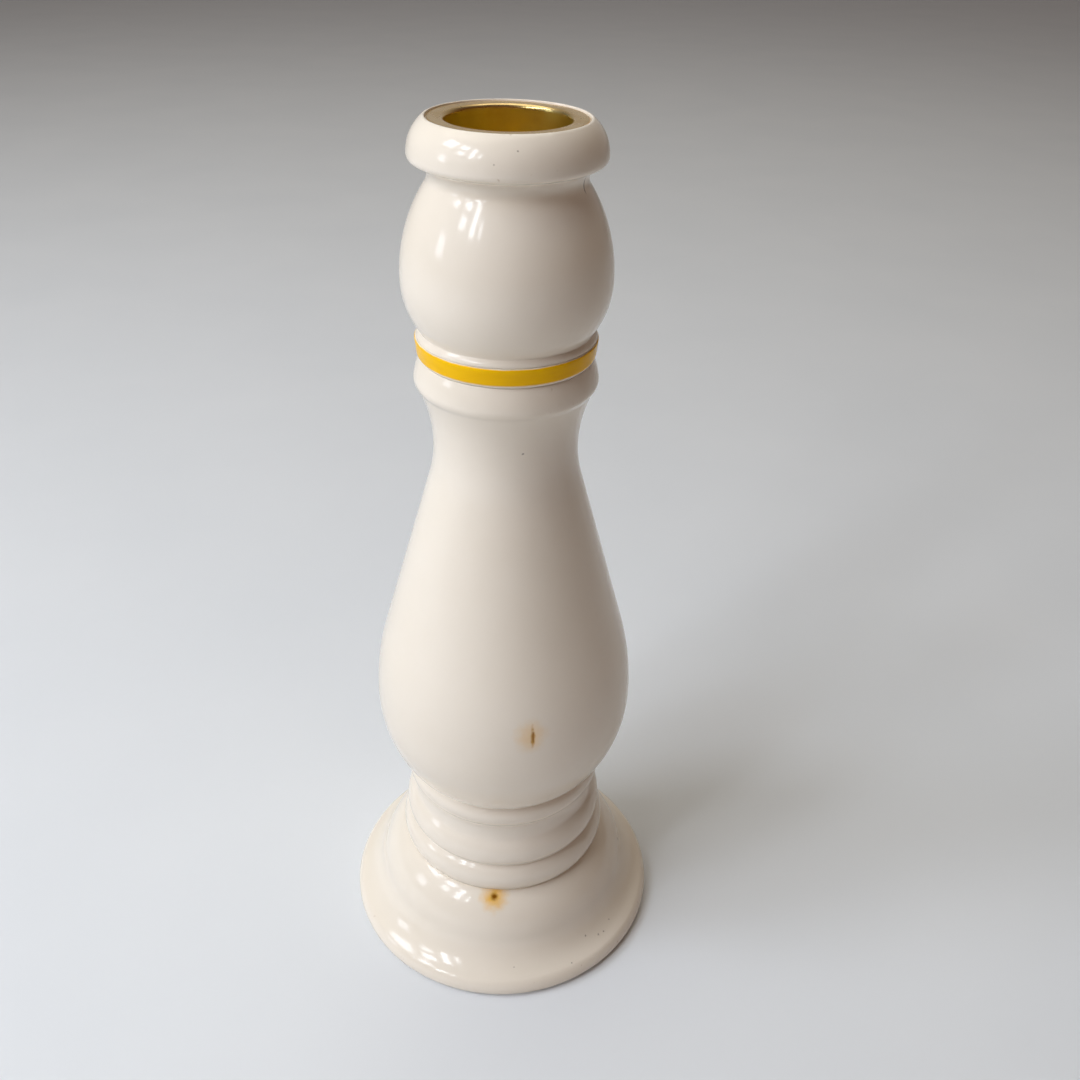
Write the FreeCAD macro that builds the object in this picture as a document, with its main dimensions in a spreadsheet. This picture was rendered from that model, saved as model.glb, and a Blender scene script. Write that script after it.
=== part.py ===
import FreeCAD, Part
import os
import re
from math import atan2, hypot, pi, sqrt

import Sketcher

# A turned wooden candlestick in white enamel. A foot and a long stem are turned as two
# pieces and screwed together, a thin ring and a bulb-shaped head sit on the stem on one
# hardwood dowel, and a spun brass cup drops into the head and holds the candle.
#
# The frame: millimetres, +Z up along the lathe axis, origin at the middle of the bottom.

SIZES = [
    # The foot, from the table up
    ("foot_radius", 38.6, "widest part of the foot's rim"),
    ("foot_inset", 1.3, "flat underside, in from the widest part"),
    ("rim_height", 1.9, "height of the rim's widest line"),
    ("shoulder_inset", 1.4, "crease on top of the rim, in from the widest part"),
    ("shoulder_height", 4.7, "height of that crease"),
    ("sweep_radius", 31.0, "where the foot turns from hollow to round"),
    ("sweep_height", 12.6, "height of that turn"),
    ("sweep_curve", 11.5, "radius of the hollow above the rim"),
    ("foot_height", 22.0, "top of the foot"),
    ("foot_top_radius", 24.3, "groove between foot and stem"),
    # The three beads at the bottom of the stem
    ("foot_bead_height", 7.4, "lowest bead, from groove to groove"),
    ("foot_bead_curve", 5.0, "radius of the lowest bead's outline"),
    ("torus_groove_radius", 22.9, "groove under the large bead"),
    ("torus_radius", 24.25, "large bead at its widest"),
    ("torus_low", 2.6, "large bead, from groove to widest line"),
    ("torus_rise", 4.7, "large bead, from widest line to its top"),
    ("torus_top_radius", 22.1, "top of the large bead"),
    ("cove_height", 5.6, "hollow between large and small bead"),
    ("cove_curve", 9.0, "radius of that hollow"),
    ("small_bead_radius", 22.3, "small bead at its two grooves"),
    ("small_bead_height", 5.8, "small bead, from groove to groove"),
    ("small_bead_curve", 3.9, "radius of the small bead's outline"),
    # The belly, the long flank, the waist and the collar of the stem
    ("belly_edge_radius", 24.6, "lower edge of the belly"),
    ("belly_edge_rise", 2.4, "lower edge of the belly above the small bead"),
    ("belly_low", 17.6, "belly, from its lower edge to its widest line"),
    ("belly_radius", 29.6, "belly at its widest"),
    ("belly_curve", 62.0, "radius of the outline above the belly"),
    ("flank_height", 64.4, "from the belly's widest line to the waist"),
    ("waist_radius", 14.85, "waist at its thinnest"),
    ("waist_curve", 28.4, "radius of the outline under the waist"),
    ("waist_rise", 12.7, "from the waist to the collar's lower edge"),
    ("collar_low_radius", 17.5, "collar's lower edge"),
    ("collar_radius", 18.35, "collar at its widest"),
    ("collar_low", 1.8, "collar, from lower edge to widest line"),
    ("collar_rise", 4.5, "collar, from widest line to the stem's top"),
    ("collar_curve", 16.0, "radius of the collar's rounded top"),
    ("stem_top_radius", 17.0, "top of the stem"),
    # The ring between stem and head
    ("ring_height", 4.1, "ring, from bottom to top"),
    ("ring_low_radius", 16.9, "ring's bottom edge"),
    ("ring_band_radius", 17.62, "lower edge of the ring's band"),
    ("ring_band_low", 1.4, "rounding under the ring's band"),
    ("ring_radius", 17.85, "upper edge of the ring's band"),
    ("ring_edge", 0.25, "bevel around the ring's top"),
    # The head: fillet, bulb, neck and lip
    ("fillet_radius", 17.6, "fillet under the bulb"),
    ("fillet_height", 1.4, "height of that fillet"),
    ("bulb_foot_radius", 16.75, "bottom of the bulb"),
    ("bulb_low", 10.0, "bulb, from its bottom to its widest line"),
    ("bulb_radius", 20.1, "bulb at its widest"),
    ("bulb_rise", 17.2, "bulb, from its widest line to the neck"),
    ("neck_start_radius", 14.85, "where bulb and neck meet"),
    ("neck_curve", 2.4, "radius of the neck's hollow"),
    ("neck_height", 3.3, "height of the neck's hollow"),
    ("neck_end_radius", 15.9, "end of the neck's hollow, under the lip"),
    ("lip_under_radius", 17.4, "underside of the lip, at its outer end"),
    ("lip_under_rise", 0.5, "slope of the lip's underside"),
    ("lip_radius", 18.0, "lip at its widest"),
    ("lip_low", 1.1, "lip, from its lower edge to its widest line"),
    ("lip_rise", 6.2, "lip, from its widest line to the rim"),
    ("rim_width", 0.4, "flat rim around the cup"),
    # The brass candle cup, for a household candle 22 mm thick
    ("candle_radius", 11.0, "candle that the cup is made for"),
    ("candle_gap", 0.2, "play around the candle"),
    ("cup_wall", 0.5, "brass sheet"),
    ("flange_width", 2.45, "cup's flange, out from the cup's wall"),
    ("cup_depth", 20.5, "cup, from flange top to its outer bottom"),
    ("cup_mouth_curve", 0.8, "rolled edge of the cup's mouth"),
    ("cup_corner", 1.5, "outer corner at the cup's bottom"),
    ("flange_drop", 0.25, "flange below the rim"),
    ("flange_gap", 0.3, "play around the flange"),
    ("cup_gap", 0.3, "play around the cup's wall"),
    ("cup_bottom_gap", 1.6, "room under the cup"),
    ("socket_bevel", 0.5, "bevel at the socket's mouth"),
    # What holds the turned pieces together
    ("glue_gap", 0.05, "glue line around a dowel or tenon"),
    ("end_gap", 0.5, "room for glue at the end of a hole"),
    ("tenon_radius", 10.0, "tenon at the bottom of the stem"),
    ("tenon_length", 12.0, "length of that tenon"),
    ("dowel_radius", 6.0, "dowel through the ring"),
    ("dowel_reach", 12.0, "dowel's length in the stem, and in the head"),
    ("dowel_bevel", 1.0, "bevel at the dowel's ends"),
    # The screw, its washer and the felt under the foot
    ("felt_inset", 4.6, "felt disc, in from the foot's widest part"),
    ("felt_thickness", 1.2, "felt disc"),
    ("felt_gap", 0.3, "play around the felt"),
    ("sink_radius", 7.0, "counterbore for the washer"),
    ("sink_depth", 4.2, "counterbore above the felt"),
    ("washer_radius", 6.0, "washer's outside"),
    ("washer_thickness", 1.0, "washer"),
    ("washer_gap", 0.3, "play between screw and washer"),
    ("screw_radius", 2.1, "screw's thread"),
    ("screw_length", 30.0, "screw under its head"),
    ("screw_point", 3.0, "length of the screw's point"),
    ("screw_head_radius", 4.0, "screw's head"),
    ("screw_head_height", 2.4, "screw's head"),
    ("screw_head_side", 0.9, "straight side of the head"),
    ("slot_width", 1.1, "slot in the screw's head"),
    ("slot_depth", 1.2, "slot in the screw's head"),
]

doc = FreeCAD.newDocument("candlestick")
sheet = doc.addObject("Spreadsheet::Sheet", "Sizes")
for row, (alias, number, note) in enumerate(SIZES, start=1):
    sheet.set("A%d" % row, alias.replace("_", " "))
    sheet.set("B%d" % row, str(number))
    sheet.set("C%d" % row, note)
    sheet.setAlias("B%d" % row, alias)
doc.recompute()


# Levels along the axis are sums of the heights above, so each is a short formula.
def level(*terms):
    return " + ".join(terms).replace("+ -", "- ")


SEAT = "foot_height"
TORUS_FOOT = level(SEAT, "foot_bead_height")
TORUS = level(TORUS_FOOT, "torus_low")
COVE = level(TORUS, "torus_rise")
SMALL_BEAD = level(COVE, "cove_height")
QUIRK = level(SMALL_BEAD, "small_bead_height")
BELLY_EDGE = level(QUIRK, "belly_edge_rise")
BELLY = level(BELLY_EDGE, "belly_low")
WAIST = level(BELLY, "flank_height")
COLLAR_FOOT = level(WAIST, "waist_rise")
COLLAR = level(COLLAR_FOOT, "collar_low")
STEM_TOP = level(COLLAR, "collar_rise")
RING_TOP = level(STEM_TOP, "ring_height")
BULB_FOOT = level(RING_TOP, "fillet_height")
BULB = level(BULB_FOOT, "bulb_low")
NECK = level(BULB, "bulb_rise")
NECK_END = level(NECK, "neck_height")
LIP_UNDER = level(NECK_END, "lip_under_rise")
LIP = level(LIP_UNDER, "lip_low")
RIM = level(LIP, "lip_rise")
FLANGE_TOP = level(RIM, "-flange_drop")
FLANGE_SEAT = level(FLANGE_TOP, "-cup_wall")
CUP_BOTTOM = level(FLANGE_TOP, "-cup_depth")
SOCKET_BOTTOM = level(CUP_BOTTOM, "-cup_bottom_gap")
TENON_END = level(SEAT, "-tenon_length")
DOWEL_END = level(STEM_TOP, "-dowel_reach")
DOWEL_TOP = level(RING_TOP, "dowel_reach")
SINK_TOP = level("felt_thickness", "sink_depth")
SCREW_SEAT = level(SINK_TOP, "-washer_thickness")
SCREW_END = level(SCREW_SEAT, "screw_length")

# Radii that follow from a neighbour's, so that a change of one size keeps the fits.
FOOT_BOTTOM_RADIUS = level("foot_radius", "-foot_inset")
SHOULDER_RADIUS = level("foot_radius", "-shoulder_inset")
FELT_RADIUS = level("foot_radius", "-felt_inset")
BORE_RADIUS = level("candle_radius", "candle_gap")
CUP_RADIUS = level(BORE_RADIUS, "cup_wall")
SOCKET_RADIUS = level(CUP_RADIUS, "cup_gap")
FLANGE_RADIUS = level(CUP_RADIUS, "flange_width")
RECESS_RADIUS = level(FLANGE_RADIUS, "flange_gap")
RIM_RADIUS = level(RECESS_RADIUS, "rim_width")


# An outline runs from point to point, with the material on its left. Each step says how the
# next point is reached: by a line, by a bead that bulges out of the material, or by a cove
# that hollows into it. A curve has a radius, or is settled by ties to its neighbours:
#   "upright start", "upright end"   its outline is vertical at that end
#   "level start"                    its outline is horizontal at its start
#   "smooth"                         it continues the direction of the step before it
#   "free"                           its end slides to where the other ties put it
def line(radius, height, *ties):
    return ("line", radius, height, None, ties)


def bead(radius, height, curve, *ties):
    return ("bead", radius, height, curve, ties)


def cove(radius, height, curve, *ties):
    return ("cove", radius, height, curve, ties)


def cells(formula):
    """The formula with each size's name turned into its cell in the sheet."""
    return re.sub(r"[a-z_]+", lambda name: "Sizes." + name.group(), formula)


def number(formula):
    return float(sheet.evalExpression(formula))


def centre_of_arc(start, end, kind, curve, ties):
    """Where a curve's centre lies, (x, z), for drawing it before it is constrained."""
    dx, dz = end[0] - start[0], end[1] - start[1]
    chord = hypot(dx, dz)
    if "upright start" in ties:
        return start[0] + chord ** 2 / (2 * dx), start[1]
    if "upright end" in ties:
        return end[0] - chord ** 2 / (2 * dx), end[1]
    if "level start" in ties:
        return start[0], start[1] + chord ** 2 / (2 * dz)
    radius = number(curve) if curve else chord
    side = 1 if kind == "bead" else -1
    rise = sqrt(radius ** 2 - chord ** 2 / 4)
    return ((start[0] + end[0]) / 2 - side * dz / chord * rise,
            (start[1] + end[1]) / 2 + side * dx / chord * rise)


def draw_step(sketch, start, end, step):
    """Draw one step. Returns its geometry number and which of its ends comes first."""
    kind, radius, height, curve, ties = step
    if kind == "line":
        edge = Part.LineSegment(FreeCAD.Vector(*start, 0), FreeCAD.Vector(*end, 0))
        return sketch.addGeometry(edge), 1, 2
    x, z = centre_of_arc(start, end, kind, curve, ties)
    turns_left = (end[0] - start[0]) * (z - start[1]) > (end[1] - start[1]) * (x - start[0])
    first, last = (start, end) if turns_left else (end, start)
    circle = Part.Circle(FreeCAD.Vector(x, z, 0), FreeCAD.Vector(0, 0, 1),
                         hypot(start[0] - x, start[1] - z))
    angles = [atan2(point[1] - z, point[0] - x) for point in (first, last)]
    if angles[1] < angles[0]:
        angles[1] += 2 * pi
    arc = sketch.addGeometry(Part.ArcOfCircle(circle, *angles))
    return (arc, 1, 2) if turns_left else (arc, 2, 1)


def tie(sketch, formula, *constraint):
    """Add a dimension whose value is a formula of the sheet's sizes."""
    index = sketch.addConstraint(Sketcher.Constraint(*constraint, number(formula)))
    sketch.setExpression("Constraints[%d]" % index, cells(formula))


def origin_plane(body, role):
    return [plane for plane in body.Origin.OriginFeatures if plane.Role == role][0]


def outline(body, name, steps):
    """A closed outline in a body's XZ plane. Its first step starts at the last step's end."""
    sketch = body.newObject("Sketcher::SketchObject", name)
    sketch.AttachmentSupport = [(origin_plane(body, "XZ_Plane"), "")]
    sketch.MapMode = "FlatFace"
    doc.recompute()

    points = [(number(step[1]), number(step[2])) for step in steps]
    drawn = [draw_step(sketch, points[i - 1], points[i], step) for i, step in enumerate(steps)]

    for i, (kind, radius, height, curve, ties) in enumerate(steps):
        geometry, first, last = drawn[i]
        before, _, joint = drawn[i - 1]
        link = "Tangent" if "smooth" in ties else "Coincident"
        sketch.addConstraint(Sketcher.Constraint(link, before, joint, geometry, first))
        if curve:
            tie(sketch, curve, "Radius", geometry)
        if "upright start" in ties:
            sketch.addConstraint(Sketcher.Constraint("Horizontal", geometry, 3, geometry, first))
        if "upright end" in ties:
            sketch.addConstraint(Sketcher.Constraint("Horizontal", geometry, 3, geometry, last))
        if "level start" in ties:
            sketch.addConstraint(Sketcher.Constraint("Vertical", geometry, 3, geometry, first))
        if "free" in ties:
            continue
        if radius == "0":
            sketch.addConstraint(Sketcher.Constraint("PointOnObject", geometry, last, -2))
        else:
            tie(sketch, radius, "DistanceX", -1, 1, geometry, last)
        if height == "0":
            sketch.addConstraint(Sketcher.Constraint("PointOnObject", geometry, last, -1))
        else:
            tie(sketch, height, "DistanceY", -1, 1, geometry, last)
    doc.recompute()
    sketch.Visibility = False
    return sketch


def turned(label, steps):
    """A piece made on the lathe: its outline turned once around the axis."""
    body = doc.addObject("PartDesign::Body", label)
    body.Label = label
    sketch = outline(body, label + "_outline", steps)
    solid = body.newObject("PartDesign::Revolution", label + "_turned")
    solid.Profile = sketch
    solid.ReferenceAxis = (sketch, ["V_Axis"])
    solid.Angle = 360
    doc.recompute()
    return body


def bored(body, name, steps):
    """Bore a turned hollow out of a piece, and make sure that it took material away."""
    volume = body.Shape.Volume
    sketch = outline(body, name + "_outline", steps)
    hollow = body.newObject("PartDesign::Groove", name)
    hollow.Profile = sketch
    hollow.ReferenceAxis = (sketch, ["V_Axis"])
    hollow.Angle = 360
    doc.recompute()
    if not body.Shape.Volume < volume:
        raise ValueError(name + " cut nothing")


def drilled(body, name, radius, low, high):
    """A plain round hole along the axis."""
    bored(body, name, [line("0", low), line(radius, low), line(radius, high), line("0", high)])


# The foot: a rim with a rounded edge, a hollow sweep and a round dome up to the groove.
foot = turned("foot", [
    line("0", "0"),
    line(FOOT_BOTTOM_RADIUS, "0"),
    bead("foot_radius", "rim_height", None, "upright end"),
    bead(SHOULDER_RADIUS, "shoulder_height", None, "upright start"),
    cove("sweep_radius", "sweep_height", "sweep_curve"),
    bead("foot_top_radius", SEAT, None, "smooth"),
    line("0", SEAT),
])
drilled(foot, "felt_recess", level(FELT_RADIUS, "felt_gap"), "0", "felt_thickness")
drilled(foot, "washer_sink", "sink_radius", "felt_thickness", SINK_TOP)
drilled(foot, "screw_way", level("screw_radius", "washer_gap"), SINK_TOP,
        level(TENON_END, "-end_gap"))
drilled(foot, "mortise", level("tenon_radius", "glue_gap"), level(TENON_END, "-end_gap"), SEAT)

# The stem: a tenon, three beads, the belly, a straight flank, the waist and the collar.
stem = turned("stem", [
    line("0", TENON_END),
    line("tenon_radius", TENON_END),
    line("tenon_radius", SEAT),
    line("foot_top_radius", SEAT),
    bead("torus_groove_radius", TORUS_FOOT, "foot_bead_curve"),
    bead("torus_radius", TORUS, None, "upright end"),
    bead("torus_top_radius", COVE, None, "upright start"),
    cove("small_bead_radius", SMALL_BEAD, "cove_curve"),
    bead("small_bead_radius", QUIRK, "small_bead_curve"),
    line("belly_edge_radius", BELLY_EDGE),
    bead("belly_radius", BELLY, None, "upright end"),
    bead("belly_radius - 0.16 * (belly_radius - waist_radius)", BELLY + " + 0.25 * flank_height",
         "belly_curve", "upright start", "free"),
    line("belly_radius - 0.93 * (belly_radius - waist_radius)", BELLY + " + 0.88 * flank_height",
         "smooth", "free"),
    cove("waist_radius", WAIST, "waist_curve", "smooth", "upright end"),
    cove("collar_low_radius", COLLAR_FOOT, None, "upright start"),
    bead("collar_radius", COLLAR, None, "upright end"),
    bead("stem_top_radius", STEM_TOP, "collar_curve"),
    line("0", STEM_TOP),
])
drilled(stem, "screw_pilot", level("screw_radius", "glue_gap"), TENON_END,
        level(SCREW_END, "end_gap"))
drilled(stem, "stem_dowel_hole", level("dowel_radius", "glue_gap"), DOWEL_END, STEM_TOP)

# The ring between stem and head, with a narrow band around it.
neck_ring = turned("neck_ring", [
    line("0", STEM_TOP),
    line("ring_low_radius", STEM_TOP),
    bead("ring_band_radius", level(STEM_TOP, "ring_band_low"), None, "upright end"),
    line("ring_radius", level(RING_TOP, "-ring_edge")),
    line("ring_radius - ring_edge", RING_TOP),
    line("0", RING_TOP),
])
drilled(neck_ring, "ring_dowel_hole", level("dowel_radius", "glue_gap"), STEM_TOP, RING_TOP)

# The head: a fillet, the bulb, the neck, the overhanging lip and the rim around the cup.
head = turned("head", [
    line("0", RING_TOP),
    line("fillet_radius", RING_TOP),
    bead("bulb_foot_radius", BULB_FOOT, None, "upright start"),
    bead("bulb_radius", BULB, None, "upright end"),
    bead("neck_start_radius", NECK, None, "upright start"),
    cove("neck_end_radius", NECK_END, "neck_curve"),
    line("lip_under_radius", LIP_UNDER),
    bead("lip_radius", LIP, None, "upright end"),
    bead(RIM_RADIUS, RIM, None, "upright start"),
    line("0", RIM),
])
drilled(head, "head_dowel_hole", level("dowel_radius", "glue_gap"), RING_TOP,
        level(DOWEL_TOP, "end_gap"))
bored(head, "cup_socket", [
    line("0", SOCKET_BOTTOM),
    line(SOCKET_RADIUS, SOCKET_BOTTOM),
    line(SOCKET_RADIUS, level(FLANGE_SEAT, "-socket_bevel")),
    line(level(SOCKET_RADIUS, "socket_bevel"), FLANGE_SEAT),
    line(RECESS_RADIUS, FLANGE_SEAT),
    line(RECESS_RADIUS, RIM),
    line("0", RIM),
])

# The dowel through the ring, with bevelled ends.
BEVELLED_RADIUS = "dowel_radius - dowel_bevel"
turned("head_dowel", [
    line("0", DOWEL_END),
    line(BEVELLED_RADIUS, DOWEL_END),
    line("dowel_radius", level(DOWEL_END, "dowel_bevel")),
    line("dowel_radius", level(DOWEL_TOP, "-dowel_bevel")),
    line(BEVELLED_RADIUS, DOWEL_TOP),
    line("0", DOWEL_TOP),
])

# The candle cup: one skin of spun brass, with a flange and a rolled mouth.
CORNER_RADIUS = level(CUP_RADIUS, "-cup_corner")
CORNER_TOP = level(CUP_BOTTOM, "cup_corner")
turned("candle_cup", [
    line("0", CUP_BOTTOM),
    line(CORNER_RADIUS, CUP_BOTTOM),
    bead(CUP_RADIUS, CORNER_TOP, "cup_corner"),
    line(CUP_RADIUS, FLANGE_SEAT),
    line(FLANGE_RADIUS, FLANGE_SEAT),
    line(FLANGE_RADIUS, FLANGE_TOP),
    line(level(BORE_RADIUS, "cup_mouth_curve"), FLANGE_TOP),
    bead(BORE_RADIUS, level(FLANGE_TOP, "-cup_mouth_curve"), "cup_mouth_curve"),
    line(BORE_RADIUS, CORNER_TOP),
    cove(CORNER_RADIUS, level(CUP_BOTTOM, "cup_wall"), "cup_corner - cup_wall"),
    line("0", level(CUP_BOTTOM, "cup_wall")),
])

# The screw that pulls foot and stem together: a domed head with a slot, and its thread.
HEAD_BOTTOM = level(SCREW_SEAT, "-screw_head_height")
foot_screw = turned("foot_screw", [
    line("0", HEAD_BOTTOM),
    bead("screw_head_radius", level(SCREW_SEAT, "-screw_head_side"), None, "level start"),
    line("screw_head_radius", SCREW_SEAT),
    line("screw_radius", SCREW_SEAT),
    line("screw_radius", level(SCREW_END, "-screw_point")),
    line("0", SCREW_END),
])
slot_sketch = foot_screw.newObject("Sketcher::SketchObject", "slot_outline")
slot_sketch.AttachmentSupport = [(origin_plane(foot_screw, "XY_Plane"), "")]
slot_sketch.MapMode = "FlatFace"
slot_sketch.setExpression("AttachmentOffset.Base.z", cells(HEAD_BOTTOM))
reach, half = number("screw_head_radius") * 1.5, number("slot_width") / 2
corners = [(-reach, -half), (reach, -half), (reach, half), (-reach, half)]
for i, corner in enumerate(corners):
    ends = FreeCAD.Vector(*corners[i - 1], 0), FreeCAD.Vector(*corner, 0)
    slot_sketch.addGeometry(Part.LineSegment(*ends))
for i in range(4):
    slot_sketch.addConstraint(Sketcher.Constraint("Coincident", i - 1 if i else 3, 2, i, 1))
for side, direction in enumerate(["Vertical", "Horizontal", "Vertical", "Horizontal"]):
    slot_sketch.addConstraint(Sketcher.Constraint(direction, side))
slot_sketch.addConstraint(Sketcher.Constraint("Symmetric", 0, 1, 1, 2, -1, 1))
tie(slot_sketch, "slot_width", "DistanceY", 2, 1, 2, 2)
tie(slot_sketch, "3 * screw_head_radius", "DistanceX", 1, 1, 1, 2)
slot = foot_screw.newObject("PartDesign::Pocket", "slot")
slot.Profile = slot_sketch
slot.Reversed = True
slot.setExpression("Length", cells("slot_depth"))
slot_sketch.Visibility = False
domed_volume = foot_screw.Shape.Volume
doc.recompute()
if not foot_screw.Shape.Volume < domed_volume:
    raise ValueError("the slot cut nothing")


def disc(name, radius, thickness, low):
    """A flat round disc that lies across the axis."""
    plate = doc.addObject("Part::Cylinder", name)
    plate.setExpression("Radius", cells(radius))
    plate.setExpression("Height", cells(thickness))
    plate.setExpression("Placement.Base.z", cells(low))
    return plate


# The washer under the screw's head, and the felt that covers both.
washer = doc.addObject("Part::Cut", "screw_washer")
washer.Label = "screw_washer"
washer.Base = disc("washer_blank", "washer_radius", "washer_thickness", SCREW_SEAT)
washer.Tool = disc("washer_hole", level("screw_radius", "washer_gap"), "washer_thickness",
                   SCREW_SEAT)
felt = disc("felt_pad", FELT_RADIUS, "felt_thickness", "0")
felt.Label = "felt_pad"
doc.recompute()

for item in doc.Objects:
    if "Invalid" in item.State or "Error" in item.State:
        raise ValueError(item.Label + " did not recompute")
pieces = [o for o in doc.Objects if o.TypeId == "PartDesign::Body"] + [washer, felt]
for piece in pieces:
    if piece.Shape.isNull() or not piece.Shape.isValid() or len(piece.Shape.Solids) != 1:
        raise ValueError(piece.Label + " is not one sound solid")

os.makedirs("parts", exist_ok=True)
for piece in pieces:
    piece.Shape.exportStep("parts/%s.step" % piece.Label)
    box = piece.Shape.optimalBoundingBox()
    print("%-13s z %6.2f to %6.2f, radius %5.2f, volume %9.1f mm3"
          % (piece.Label, box.ZMin, box.ZMax, box.XMax, piece.Shape.Volume))
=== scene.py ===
# %% [markdown]
# # A turned candlestick and its finish
# The real object is a row of wooden pieces from a lathe, painted with gloss enamel, with a
# candle cup of spun brass in the top. Each piece is round about one axis, so each one here is
# its outline swept once around that axis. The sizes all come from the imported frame, which
# holds the same pieces as plain solids, so nothing in this file gives a length that the
# frame already knows.

import math

import bpy
import numpy as np
from mathutils import Matrix, Vector


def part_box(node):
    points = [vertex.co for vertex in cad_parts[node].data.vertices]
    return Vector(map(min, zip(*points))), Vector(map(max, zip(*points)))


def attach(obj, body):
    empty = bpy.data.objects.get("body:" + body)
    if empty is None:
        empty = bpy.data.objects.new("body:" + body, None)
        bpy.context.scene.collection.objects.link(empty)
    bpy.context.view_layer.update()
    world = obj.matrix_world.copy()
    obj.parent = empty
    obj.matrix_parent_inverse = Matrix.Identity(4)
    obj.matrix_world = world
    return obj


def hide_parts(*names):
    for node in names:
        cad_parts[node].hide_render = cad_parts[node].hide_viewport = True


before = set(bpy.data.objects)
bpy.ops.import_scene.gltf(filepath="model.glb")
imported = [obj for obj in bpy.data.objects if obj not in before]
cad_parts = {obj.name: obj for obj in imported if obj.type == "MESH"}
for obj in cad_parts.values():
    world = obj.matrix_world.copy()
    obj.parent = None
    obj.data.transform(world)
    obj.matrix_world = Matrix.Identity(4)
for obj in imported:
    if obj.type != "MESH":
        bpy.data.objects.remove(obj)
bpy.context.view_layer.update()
MM = 0.001
print("frame:", sorted(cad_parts))

# %% [markdown]
# ## Reading a lathe outline back out of a solid
# A half-plane through the axis cuts a turned solid in its outline. Each triangle that it
# crosses gives one short line, and the triangle's outward side says which way the line runs,
# so that the wood is always on its left. Put end to end, the lines are the outline, from axis
# to axis for a solid core, or in a closed loop for a piece with a hole right through.

# %% Cut a piece with a half-plane
CUT_TURN = 1e-5    # the half-plane stands this far off the seam of the solid, in radians
SAME_POINT = 0.004    # millimetres


def cut_lines(name):
    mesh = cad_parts[name].data
    points = np.array([vertex.co[:] for vertex in mesh.vertices]) / MM
    out = np.array([math.cos(CUT_TURN), math.sin(CUT_TURN), 0.0])
    side = np.array([-math.sin(CUT_TURN), math.cos(CUT_TURN), 0.0])
    radius, across, height = points @ out, points @ side, points[:, 2]
    lines = []
    for face in mesh.polygons:
        corners = list(face.vertices)
        crossing = []
        for a, b in zip(corners, corners[1:] + corners[:1]):
            if (across[a] > 0) != (across[b] > 0):
                t = across[a] / (across[a] - across[b])
                crossing.append((radius[a] + t * (radius[b] - radius[a]),
                                 height[a] + t * (height[b] - height[a])))
        if len(crossing) < 2 or max(crossing)[0] <= 0:
            continue
        start, end = (np.array(point) for point in crossing[:2])
        a, b, c = points[corners[:3]]
        normal = np.cross(b - a, c - a)
        if (end - start) @ (-normal[2], normal @ out) < 0:
            start, end = end, start
        if start[0] < 0:
            start = start + (end - start) * start[0] / (start[0] - end[0])
        if end[0] < 0:
            end = end + (start - end) * end[0] / (end[0] - start[0])
        if np.linalg.norm(end - start) > SAME_POINT / 4:
            lines.append((start, end))
    return lines


def chained(lines):
    """The lines put end to end: an array of (radius, height), and whether it is a loop."""
    starts = np.array([line[0] for line in lines])
    ends = np.array([line[1] for line in lines])
    unused = np.ones(len(lines), bool)
    here = int(np.argmin(starts[:, 0]))
    chain = [starts[here]]
    closed = starts[here, 0] > SAME_POINT
    while True:
        unused[here] = False
        chain.append(ends[here])
        gaps = np.linalg.norm(starts - ends[here], axis=1) + 1e6 * ~unused
        here = int(np.argmin(gaps))
        if gaps[here] > 10 * SAME_POINT:
            break
    chain = np.array(chain)
    keep = np.r_[True, np.linalg.norm(np.diff(chain, axis=0), axis=1) > SAME_POINT]
    return chain[keep], closed


cut_outlines = {name: chained(cut_lines(name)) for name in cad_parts}
for name, (chain, closed) in cut_outlines.items():
    print(f"{name}: {len(chain)} points, {'a loop' if closed else 'from axis to axis'}")

# %% [markdown]
# ## From straight chords back to round curves
# The solid in the frame is made of flat triangles, so its outline is made of chords. Three
# neighbouring points of one arc give the same circle wherever they are taken, and that is how
# a chord of an arc is told from a straight run. Each chord is bent back into its arc, and then
# the whole outline is softened a little, because paint rounds an edge and fills a corner.

# %% Bend the chords and soften the corners
FINE_STEP = 0.06    # millimetres between points while an outline is being worked on
WIDE_SOFTENING = 1.3    # how far around a point the outline is looked at for hollows
LARGEST_TURN = 0.45    # radians that one chord of an arc may span
AGREEMENT = 0.04    # the share by which two circles of one arc may differ
FLATTEST = 0.002    # 1/mm; a bend below this is as good as straight


def bend(before, here, after):
    """One over the radius of the circle through three points, positive where it turns left."""
    a, b, c = here - before, after - here, after - before
    lengths = np.linalg.norm(a) * np.linalg.norm(b) * np.linalg.norm(c)
    return 2 * (a[0] * b[1] - a[1] * b[0]) / max(lengths, 1e-12)


def agree(first, second):
    return abs(first - second) < AGREEMENT * max(abs(first), abs(second), FLATTEST)


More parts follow.
